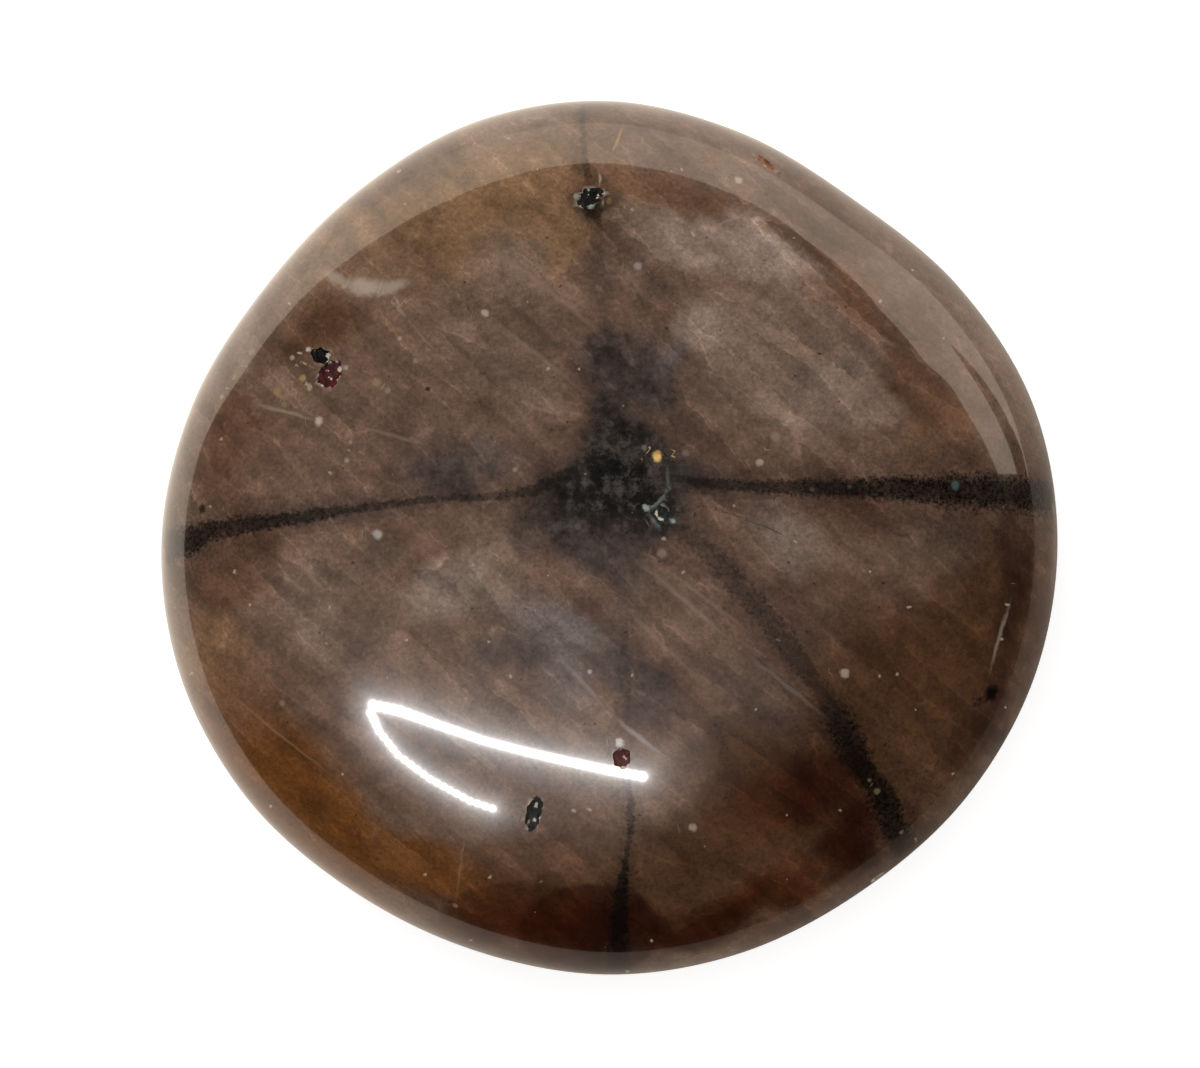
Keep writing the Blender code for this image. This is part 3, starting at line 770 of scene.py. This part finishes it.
def growth_painter():
    """A tree that paints the crystal as attributes: its broad colours, with painted shade toward the south
    and a painted haze of reflection in the middle, its cross and its small marks, some of them painted glints
    and shade at the pits.
    """
    tree = bpy.data.node_groups.new("growth_painter", "GeometryNodeTree")
    tree.interface.new_socket("Geometry", in_out="OUTPUT", socket_type="NodeSocketGeometry")
    tree.interface.new_socket("Stone", in_out="INPUT", socket_type="NodeSocketGeometry")
    tree.interface.new_socket("Finish", in_out="INPUT", socket_type="NodeSocketMaterial")
    given = add(tree, "NodeGroupInput").outputs
    place = grown_place(tree, add(tree, "GeometryNodeInputPosition").outputs[0])
    cloudy = wavered(tree, place, 0.30, 4.0, 3.4)  # clouds a few mm across, with frayed edges
    smoky = wavered(tree, place, 0.75, 5.0, 1.9)  # the graphite frays finer, at 1 to 2 mm
    hue = add(tree, "ShaderNodeTexNoise", {"Vector": cloudy, "Scale": 0.16, "Detail": 3.0, "Roughness": 0.55})
    ground = add(tree, "ShaderNodeValToRGB", {"Fac": hue.outputs["Fac"]})
    ground.color_ramp.elements[0].position = 0.36
    ground.color_ramp.elements[0].color = linear(GROUND_RED)
    ground.color_ramp.elements[1].position = 0.66
    ground.color_ramp.elements[1].color = linear(GROUND_GREY)
    colour = ground.outputs["Color"]
    patch = patch_group()
    for patches, drifting, core in ((ZONES, cloudy, 0.3), (SMOKE, smoky, 0.3), (SHARP, place, 0.86)):
        for pixel, length, width, turn, strength, tone in patches.values():
            middle = on_stone(pixel)
            colour = add(tree, "GeometryNodeGroup", {
                "Under": colour, "Over": linear(TONES[tone]), "Strength": strength, "Core": core,
                "Place": drifting, "Centre": (middle.x, middle.y, 0.0), "Turn": math.radians(turn),
                "Size": (length * PATCH_SPREAD, width * PATCH_SPREAD, THROUGH),
            }, node_tree=patch).outputs["Colour"]
    stored = [("growth_and_painted_light_colour", "FLOAT_COLOR", colour)]

    # The cross: each place keeps its nearest arm, as half widths to one side or the other of it.
    thread = wavered(tree, place, 1.6, 2.0, 0.26)
    beside, dark, least = arm_field(tree, thread, ARMS["west"])
    for name in ("east", "south", "north", "south_east"):
        new_beside, new_dark, distance = arm_field(tree, thread, ARMS[name])
        nearer = add(tree, MATH, {0: distance, 1: least}, operation="LESS_THAN")
        beside = add(tree, "ShaderNodeMix", {"Factor": nearer, "A": beside, "B": new_beside})
        dark = add(tree, "ShaderNodeMix", {"Factor": nearer, "A": dark, "B": new_dark})
        least = add(tree, MATH, {0: least, 1: distance}, operation="MINIMUM")
    close = add(tree, MATH, {0: least, 1: HALO_REACH}, operation="LESS_THAN")
    dark = add(tree, MATH, {0: dark, 1: close}, operation="MULTIPLY")
    stored += [("arm_beside", "FLOAT", beside), ("arm_dark", "FLOAT", dark)]

    # The lines and the specks: each place keeps the way out from the mark that it lies near.
    mark = mark_group()
    line_marks, speck_marks = [], []
    for start, end, width, strength, tone in LINES.values():
        first, last = on_stone(start), on_stone(end)
        way = last - first
        size = (way.length * 0.55, width * 0.7, MARK_DEPTH)
        line_marks.append(((first + last) / 2, size, math.atan2(way.y, way.x), strength, tone))
    for pixel, width, strength, tone in SPECKS.values():
        speck_marks.append((on_stone(pixel), (width * 0.6,) * 3, 0.0, strength, tone))
    for name, marks in (("line", line_marks), ("speck", speck_marks)):
        so_far = {"Away": NO_MARK_NEAR, "Strength": 0.0, "Tone": linear("000000")}
        for centre, size, turn, strength, tone in marks:
            so_far = add(tree, "GeometryNodeGroup", {
                "Away so far": so_far["Away"], "Strength so far": so_far["Strength"],
                "Tone so far": so_far["Tone"], "Place": thread, "Centre": centre, "Size": size,
                "Turn": turn, "Strength": strength, "Tone": linear(tone),
            }, node_tree=mark).outputs
        stored += [
            (name + "_away", "FLOAT_VECTOR", so_far["Away"]),
            (name + "_strength", "FLOAT", so_far["Strength"]),
            (name + "_tone", "FLOAT_COLOR", so_far["Tone"]),
        ]
    painted = given["Stone"]
    for name, kind, value in stored:
        painted = add(tree, "GeometryNodeStoreNamedAttribute", {
            "Geometry": painted, "Name": name, "Value": value,
        }, data_type=kind, domain="POINT")
    painted = add(tree, "GeometryNodeRealizeInstances", {"Geometry": painted})
    painted = add(tree, "GeometryNodeSetMaterial", {"Geometry": painted, "Material": given["Finish"]})
    add(tree, "NodeGroupOutput", {0: painted})
    return tree


painting = stone.modifiers.new("growth", "NODES")
painting.node_group = growth_painter()
for item in painting.node_group.interface.items_tree:
    if item.name == "Finish":
        painting[item.identifier] = polished_andalusite
graph = bpy.context.evaluated_depsgraph_get()
painted_mesh = bpy.data.meshes.new_from_object(stone.evaluated_get(graph))
stone.modifiers.clear()
stone.data = painted_mesh
painted_mesh.name = "chiastolite_polished"

# Each pit has its own tone, in small facets with painted shade, of which some take a painted glint, and a
# thin broken edge painted as a highlight.
pit_flags = [0.0] * len(painted_mesh.polygons)
painted_mesh.attributes["pit_floor"].data.foreach_get("value", pit_flags)
pit_tones_shades_and_glints, pit_points, skin_points = [], set(), set()
for face, flag in zip(painted_mesh.polygons, pit_flags):
    if flag:
        nearest = min(pit_centres, key=lambda name: (pit_centres[name] - face.center).length)
        facet = 0.5 + noise.noise(face.center / (FACET * MM))
        tone = linear(PAINTED_GLINT if facet > PAINTED_GLINT_FROM else PIT_TONES[nearest])
        painted_facet_shade = FACET_SHADE_LOW + FACET_SHADE_SPREAD * facet
        pit_tones_shades_and_glints += [channel * painted_facet_shade for channel in tone[:3]] + [1.0]
        pit_points.update(face.vertices)
    else:
        pit_tones_shades_and_glints += linear("000000")
        skin_points.update(face.vertices)
painted_mesh.attributes.new("pit_tone_shade_and_glint", "FLOAT_COLOR", "FACE").data.foreach_set("color", pit_tones_shades_and_glints)
pit_edge_highlights = [0.0] * len(painted_mesh.vertices)
for i in pit_points & skin_points:
    broken = PIT_EDGE_HIGHLIGHT_SHARE + noise.noise(painted_mesh.vertices[i].co / (FACET * MM))
    pit_edge_highlights[i] = min(max(broken, 0.0), PIT_EDGE_HIGHLIGHT_MOST)
painted_mesh.attributes.new("pit_edge_highlight", "FLOAT", "POINT").data.foreach_set("value", pit_edge_highlights)

paint = polished_andalusite.node_tree
paint.nodes.clear()
grown = grown_place(paint, add(paint, "ShaderNodeTexCoord").outputs["Object"])
ragged = wavered(paint, grown, 2.4, 1.0, 0.30)
colour = add(paint, "ShaderNodeAttribute", attribute_name="growth_and_painted_light_colour").outputs["Color"]

# Mottling in three sizes, slanting cleavage slabs that each lie a shade apart, and their pale edges.
# The crystal's own grain measures 0.05 mm or less, and is drawn at about 0.2 mm so that it shows.
CLEAVAGE_TURN = -42
SLAB_SIZE = (4.5, 0.8, 3.0)  # mm
SLAB_CONTRAST = 0.18
SLAB_EDGE = 0.07
EDGE_LIGHT = 0.30
STREAKS_PER_SLAB = 1.1
STREAK_CONTRAST = 0.30
MOTTLES_PER_MM = 0.9
MOTTLE_CONTRAST = 0.42
GRAINS_PER_MM = 6.0
GRAIN_CONTRAST = 0.36

slanted = add(paint, "ShaderNodeMapping", {
    "Vector": ragged, "Rotation": (0.0, 0.0, math.radians(CLEAVAGE_TURN)), "Scale": SLAB_SIZE,
}, vector_type="TEXTURE")
slabs = add(paint, "ShaderNodeTexVoronoi", {"Vector": slanted, "Scale": 1.0}, voronoi_dimensions="2D")
slab_shade = add(paint, VECTOR_MATH, {
    0: slabs.outputs["Color"], 1: (1.0, 0.0, 0.0),
}, operation="DOT_PRODUCT")
slab_edge = add(paint, "ShaderNodeTexVoronoi", {
    "Vector": slanted, "Scale": 1.0,
}, voronoi_dimensions="2D", feature="DISTANCE_TO_EDGE")
mottle = add(paint, "ShaderNodeTexNoise", {
    "Vector": ragged, "Scale": MOTTLES_PER_MM, "Detail": 4.0, "Roughness": 0.68,
})
streaks = add(paint, "ShaderNodeTexNoise", {
    "Vector": slanted, "Scale": STREAKS_PER_SLAB, "Detail": 2.0, "Roughness": 0.55,
})
grain = add(paint, "ShaderNodeTexNoise", {
    "Vector": grown, "Scale": GRAINS_PER_MM, "Detail": 2.0, "Roughness": 0.8,
})
lightness = add(paint, MAP_RANGE, {
    "Value": slab_shade.outputs["Value"], "To Min": 1 - SLAB_CONTRAST, "To Max": 1 + SLAB_CONTRAST,
})
for source, spread in ((mottle, MOTTLE_CONTRAST), (streaks, STREAK_CONTRAST), (grain, GRAIN_CONTRAST)):
    part = add(paint, MAP_RANGE, {
        "Value": source, "From Min": 0.2, "From Max": 0.8, "To Min": 1 - spread, "To Max": 1 + spread,
    }, clamp=False)
    lightness = add(paint, MATH, {0: lightness, 1: part}, operation="MULTIPLY")
edge_part = add(paint, MAP_RANGE, {
    "Value": mottle, "From Min": 0.44, "From Max": 0.60, "To Min": 1.0, "To Max": 1 + EDGE_LIGHT,
})
edge_light = add(paint, MAP_RANGE, {
    "Value": slab_edge, "From Max": SLAB_EDGE, "To Min": edge_part, "To Max": 1.0,
}, interpolation_type="SMOOTHSTEP")
lightness = add(paint, MATH, {0: lightness, 1: edge_light}, operation="MULTIPLY")

# Where graphite darkens the crystal it lies in crumbs, with paler stone between them. Only a colour
# that is dark and grey holds graphite: the dark reds and the maroon hold none.
CRUMBS_PER_MM = 1.8

dark_part = add(paint, VECTOR_MATH, {0: colour, 1: (0.33, 0.33, 0.33)}, operation="DOT_PRODUCT")
dark_part = add(paint, MAP_RANGE, {
    "Value": dark_part.outputs["Value"], "From Min": 0.012, "From Max": 0.075, "To Min": 1.0, "To Max": 0.0,
})
channels = add(paint, "ShaderNodeSeparateColor", {"Color": colour}).outputs
greyness = add(paint, MATH, {0: channels["Blue"], 1: channels["Red"]}, operation="DIVIDE")
greyness = add(paint, MAP_RANGE, {
    "Value": greyness, "From Min": 0.30, "From Max": 0.50,
})
dark_part = add(paint, MATH, {0: dark_part, 1: greyness}, operation="MULTIPLY")
crumble = add(paint, "ShaderNodeTexNoise", {
    "Vector": grown, "Scale": CRUMBS_PER_MM, "Detail": 4.0, "Roughness": 0.8,
})
pale_crumbs = add(paint, MAP_RANGE, {
    "Value": crumble, "From Min": 0.50, "From Max": 0.78, "To Min": 0.0, "To Max": 0.70,
})
pale_crumbs = add(paint, MATH, {0: pale_crumbs, 1: dark_part}, operation="MULTIPLY")
dark_crumbs = add(paint, MAP_RANGE, {
    "Value": crumble, "From Min": 0.32, "From Max": 0.52, "To Min": 0.65, "To Max": 0.0,
})
dark_crumbs = add(paint, MATH, {0: dark_crumbs, 1: dark_part}, operation="MULTIPLY")
darkening = add(paint, MATH, {0: 1.0, 1: dark_crumbs}, operation="SUBTRACT")
lightness = add(paint, MATH, {0: lightness, 1: darkening}, operation="MULTIPLY")
colour = add(paint, VECTOR_MATH, {0: colour, "Scale": lightness}, operation="SCALE").outputs[0]
colour = add(paint, "ShaderNodeMix", {
    "Factor": pale_crumbs, "A": colour, "B": linear(TONES["grey"]),
}, data_type="RGBA")

# Pale and dark grains, too small to name, lie scattered through the crystal.
SCATTERED_GRAINS = (  # how many to the mm, the largest one's half width as a share of their spacing, tone
    (0.75, 0.062, "b0a08c"),
    (1.1, 0.07, "241812"),
)

for per_mm, limit, tone in SCATTERED_GRAINS:
    grains = add(paint, "ShaderNodeTexVoronoi", {"Vector": ragged, "Scale": per_mm}, voronoi_dimensions="2D")
    chosen = add(paint, VECTOR_MATH, {
        0: grains.outputs["Color"], 1: (0.0, 1.0, 0.0),
    }, operation="DOT_PRODUCT").outputs["Value"]
    size = add(paint, MAP_RANGE, {
        "Value": chosen, "From Min": 0.55, "From Max": 1.0, "To Min": -0.05, "To Max": limit,
    })
    gap = add(paint, MATH, {0: grains, 1: size}, operation="SUBTRACT")
    cover = add(paint, MAP_RANGE, {
        "Value": gap, "From Min": -0.03, "From Max": 0.015, "To Min": 0.6, "To Max": 0.0,
    }, interpolation_type="SMOOTHSTEP")
    colour = add(paint, "ShaderNodeMix", {"Factor": cover, "A": colour, "B": linear(tone)}, data_type="RGBA")

# The cross: dense graphite along each arm, in crumbs, and a thin smoke of it on both sides.
beside = add(paint, "ShaderNodeAttribute", attribute_name="arm_beside").outputs["Fac"]
arm_dark = add(paint, "ShaderNodeAttribute", attribute_name="arm_dark").outputs["Fac"]
beside = add(paint, MATH, {0: beside}, operation="ABSOLUTE")
fuzz = add(paint, MATH, {0: grain, 1: 0.5}, operation="SUBTRACT")
beside = add(paint, MATH, {0: beside, 1: fuzz}, operation="ADD")
dense = add(paint, MAP_RANGE, {
    "Value": beside, "From Min": 0.30, "From Max": 1.25, "To Min": 1.0, "To Max": 0.0,
}, interpolation_type="SMOOTHSTEP")
thin = add(paint, MAP_RANGE, {
    "Value": beside, "From Min": 0.9, "From Max": 3.4, "To Min": 0.38, "To Max": 0.0,
}, interpolation_type="SMOOTHSTEP")
cross = add(paint, MATH, {0: dense, 1: thin}, operation="MAXIMUM")
cross = add(paint, MATH, {0: cross, 1: arm_dark}, operation="MULTIPLY")
crumbs = add(paint, MAP_RANGE, {
    "Value": grain, "From Min": 0.36, "From Max": 0.56, "To Min": 1.0, "To Max": 0.84,
})
cross = add(paint, MATH, {0: cross, 1: crumbs}, operation="MULTIPLY", use_clamp=True)
colour = add(paint, "ShaderNodeMix", {"Factor": cross, "A": colour, "B": linear(GRAPHITE)}, data_type="RGBA")

# The walls of the pits: broken crystal, dull where the rest is polished.
pit = add(paint, "ShaderNodeAttribute", attribute_name="pit_floor").outputs["Fac"]
pit_tone_shade_and_glint = add(paint, "ShaderNodeAttribute", attribute_name="pit_tone_shade_and_glint").outputs["Color"]
pit_edge_highlight = add(paint, "ShaderNodeAttribute", attribute_name="pit_edge_highlight").outputs["Fac"]
colour = add(paint, "ShaderNodeMix", {"Factor": pit, "A": colour, "B": pit_tone_shade_and_glint}, data_type="RGBA")
# The pale broken edge round each pit is a painted highlight.
colour = add(paint, "ShaderNodeMix", {"Factor": pit_edge_highlight, "A": colour, "B": linear(PAINTED_GLINT)}, data_type="RGBA")

# The lines and the specks, each with an uneven edge. Some specks at the pits are painted highlights and
# painted shade.
for name, core in (("line", 0.2), ("speck", 0.35)):
    away = add(paint, "ShaderNodeAttribute", attribute_name=name + "_away").outputs["Vector"]
    strength = add(paint, "ShaderNodeAttribute", attribute_name=name + "_strength").outputs["Fac"]
    tone = add(paint, "ShaderNodeAttribute", attribute_name=name + "_tone").outputs["Color"]
    away = add(paint, VECTOR_MATH, {0: away}, operation="LENGTH").outputs["Value"]
    away = add(paint, MATH, {0: away, 1: fuzz}, operation="ADD")
    cover = add(paint, MAP_RANGE, {
        "Value": away, "From Min": core, "From Max": 1.0, "To Min": strength, "To Max": 0.0,
    }, interpolation_type="SMOOTHSTEP")
    colour = add(paint, "ShaderNodeMix", {"Factor": cover, "A": colour, "B": tone}, data_type="RGBA")

# The polish lies over the hazy body as a coat. The pits have no coat, and their walls scatter light.
dull = add(paint, MAP_RANGE, {"Value": pit, "To Min": HAZE_ROUGHNESS, "To Max": PIT_ROUGHNESS})
gloss = add(paint, MAP_RANGE, {"Value": pit, "To Min": 1.0, "To Max": 0.0})

shader = add(paint, "ShaderNodeBsdfPrincipled", {
    "Base Color": colour, "Roughness": dull, "IOR": STONE_IOR, "Coat Weight": gloss,
    "Coat Roughness": POLISH_ROUGHNESS, "Coat IOR": STONE_IOR, "Specular IOR Level": HAZE_GLOSS,
})
add(paint, "ShaderNodeOutputMaterial", {"Surface": shader})

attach(stone, "root")
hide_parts("chiastolite_slice")


# The floor
# A plain matt white sheet. Lit as it is, it comes out almost white, with a soft shade by the stone.
FLOOR_RADIUS = 2.0
FLOOR_HEIGHT = -0.02 * MM
FLOOR_COLOUR = "f4f3f1"
FLOOR_GLOW = 0.5
SHEET_RADIUS = 70 * MM
SHEET_HEIGHT = -0.01 * MM
SHEET_COLOUR = "fff0de"
SHEET_LIT = 1.1
SHEET_DIM = 0.10
LIT_SIDE = (-0.75, 0.66, 0.0)

matt_white = bpy.data.materials.new("matt_white_sheet")
matt_white.use_nodes = True
matt = matt_white.node_tree
matt.nodes.clear()
floor_shade = add(matt, "ShaderNodeBsdfDiffuse", {"Color": linear(FLOOR_COLOUR)})
floor_glow = add(matt, "ShaderNodeEmission", {"Color": linear("ffffff"), "Strength": FLOOR_GLOW})
floor_both = add(matt, "ShaderNodeAddShader", {0: floor_shade, 1: floor_glow})
add(matt, "ShaderNodeOutputMaterial", {"Surface": floor_both})


def round_sheet(name, material, radius, height):
    """A flat round sheet that lies under the stone."""
    work = bmesh.new()
    bmesh.ops.create_circle(work, cap_ends=True, segments=96, radius=radius)
    mesh = bpy.data.meshes.new(name)
    work.to_mesh(mesh)
    work.free()
    mesh.materials.append(material)
    made = bpy.data.objects.new(name, mesh)
    made.location.z = height
    bpy.context.collection.objects.link(made)
    return made


floor = round_sheet("floor", matt_white, FLOOR_RADIUS, FLOOR_HEIGHT)
floor.visible_glossy = False

# Close to the stone its gloss sees the sheet instead, bright on the side that the light comes from.
lit_sheet = bpy.data.materials.new("lit_sheet")
lit_sheet.use_nodes = True
lit = lit_sheet.node_tree
lit.nodes.clear()
sheet_place = add(lit, "ShaderNodeTexCoord").outputs["Object"]
sheet_side = add(lit, VECTOR_MATH, {0: sheet_place}, operation="NORMALIZE")
sheet_side = add(lit, VECTOR_MATH, {0: sheet_side, 1: LIT_SIDE}, operation="DOT_PRODUCT").outputs["Value"]
sheet_light = add(lit, MAP_RANGE, {
    "Value": sheet_side, "From Min": -1.0, "From Max": 1.0, "To Min": SHEET_DIM, "To Max": SHEET_LIT,
})
sheet_glow = add(lit, "ShaderNodeEmission", {"Color": linear(SHEET_COLOUR), "Strength": sheet_light})
add(lit, "ShaderNodeOutputMaterial", {"Surface": sheet_glow})
near_sheet = round_sheet("near_sheet", lit_sheet, SHEET_RADIUS, SHEET_HEIGHT)
near_sheet.visible_camera = False
near_sheet.visible_diffuse = False
near_sheet.visible_shadow = False


# The studio
# A white card stands behind the stone and shows in its rolled rim as the pale band, a row of small
# lamps bent to a V shows as the highlight, and soft light from above lights the stone itself.
CARD_DISTANCE = 0.25
BAND_EDGE = (  # pixels along the inner edge of the pale band
    (184, 520), (188, 490), (198, 455), (216, 415), (240, 378), (270, 335), (300, 300), (345, 262),
    (400, 225), (450, 200), (500, 180), (545, 168), (590, 163), (635, 166), (680, 175), (730, 193),
    (780, 220), (830, 258), (880, 310), (925, 362), (952, 345), (982, 378), (1008, 420), (1022, 452),
    (1028, 478),
)
STRIP_INNER = ((925, 362), (950, 385), (970, 418), (988, 450), (998, 474))
STRIP_OUTER = ((950, 345), (974, 380), (998, 422), (1011, 452), (1017, 474))
BAND_RADIANCE = 1.35
CARD_COLOUR = "ffefda"
LAMP_ROWS = {  # pixels along each row of lamps, with the width that they light up
    "upper": (
        (373, 705, 10), (400, 711, 11), (444, 727, 9.5), (485, 741, 9), (527, 752, 9), (570, 762, 9.5),
        (612, 771, 10), (650, 778, 10),
    ),
    "lower": (
        (371, 713, 9), (379, 731, 7.5), (398, 755, 7), (430, 779, 7), (470, 801, 7), (500, 811, 7.5),
    ),
}
LAMP_PITCH = 7.6
LAMP_LAYERS = (  # each lamp and the glow of its frosted cover: pixels wider, radiance, distance (m)
    ("lamp_fronts", 0.3, 24.0, 0.150),
    ("lamp_glow_1", 2.6, 6.6, 0.151),
    ("lamp_glow_2", 5.0, 4.0, 0.152),
    ("lamp_glow_3", 8.0, 2.5, 0.153),
    ("lamp_glow_4", 12.0, 1.6, 0.154),
    ("lamp_glow_5", 16.5, 1.0, 0.155),
    ("lamp_glow_6", 21.5, 0.6, 0.156),
    ("lamp_glow_7", 27.0, 0.35, 0.157),
    ("lamp_glow_8", 33.0, 0.16, 0.158),
)
LAMP_CORNERS = 12


def mirrored(pixel, distance):
    """Where the sight line through a pixel goes after the stone has mirrored it."""
    toward = sight(pixel)
    place, normal = on_skin(camera_place, toward)
    return place + toward.reflect(normal) * distance


def glowing(name, radiance, colour):
    """A plain light-giving surface, such as a lit card or the front of a lamp."""
    material = bpy.data.materials.new(name)
    material.use_nodes = True
    tree = material.node_tree
    tree.nodes.clear()
    glow = add(tree, "ShaderNodeEmission", {"Color": linear(colour), "Strength": radiance})
    add(tree, "ShaderNodeOutputMaterial", {"Surface": glow})
    return material


def studio_piece(name, points, faces, material):
    """A piece of the studio that only the stone's gloss sees."""
    mesh = bpy.data.meshes.new(name)
    mesh.from_pydata(points, [], faces)
    mesh.materials.append(material)
    made = bpy.data.objects.new(name, mesh)
    bpy.context.collection.objects.link(made)
    made.visible_camera = False
    made.visible_diffuse = False
    made.visible_shadow = False
    return made


card_points, card_faces = [], []
for i, pixel in enumerate(BAND_EDGE):
    top = mirrored(pixel, CARD_DISTANCE)
    foot = Vector((top.x, top.y, 0.0)).normalized() * SHEET_RADIUS
    card_points += [top, foot]
    if i:
        card_faces.append((2 * i - 2, 2 * i - 1, 2 * i + 1, 2 * i))
for i, (inner, outer) in enumerate(zip(STRIP_INNER, STRIP_OUTER)):
    card_points += [mirrored(inner, CARD_DISTANCE), mirrored(outer, CARD_DISTANCE)]
    if i:
        last = len(card_points)
        card_faces.append((last - 4, last - 3, last - 1, last - 2))
studio_piece("white_card", card_points, card_faces, glowing("lit_card", BAND_RADIANCE, CARD_COLOUR))

for name, spread, radiance, distance in LAMP_LAYERS:
    lamp_points, lamp_faces = [], []
    for row in LAMP_ROWS.values():
        for (x0, y0, w0), (x1, y1, w1) in zip(row, row[1:]):
            steps = max(1, round(math.hypot(x1 - x0, y1 - y0) / LAMP_PITCH))
            for step in range(steps):
                u = step / steps
                x, y = x0 + (x1 - x0) * u, y0 + (y1 - y0) * u
                radius = (w0 + (w1 - w0) * u) / 2 + spread
                first = len(lamp_points)
                for corner in range(LAMP_CORNERS):
                    angle = 2 * math.pi * corner / LAMP_CORNERS
                    edge = (x + radius * math.cos(angle), y + radius * math.sin(angle))
                    lamp_points.append(mirrored(edge, distance))
                lamp_faces.append(tuple(range(first, first + LAMP_CORNERS)))
    studio_piece(name, lamp_points, lamp_faces, glowing(name, radiance, "ffffff"))

KEY_PLACE = (-0.20, 0.32, 0.42)
KEY_SIZE = 0.35
KEY_POWER = 0.9
SKY_STRENGTH = 0.8

key_data = bpy.data.lights.new("soft_key", "AREA")
key_data.shape = "DISK"
key_data.size = KEY_SIZE
key_data.energy = KEY_POWER
key = bpy.data.objects.new("soft_key", key_data)
key.location = KEY_PLACE
key.rotation_euler = (Vector((0, 0, 0)) - key.location).to_track_quat("-Z", "Y").to_euler()
key.visible_glossy = False
key.visible_camera = False
bpy.context.collection.objects.link(key)

world = bpy.data.worlds.new("studio")
world.use_nodes = True
sky = world.node_tree.nodes["Background"]
sky.inputs["Color"].default_value = linear("ffffff")
sky.inputs["Strength"].default_value = SKY_STRENGTH
world.cycles_visibility.glossy = False
bpy.context.scene.world = world
bpy.context.scene.view_settings.view_transform = "Standard"

bpy.context.view_layer.update()
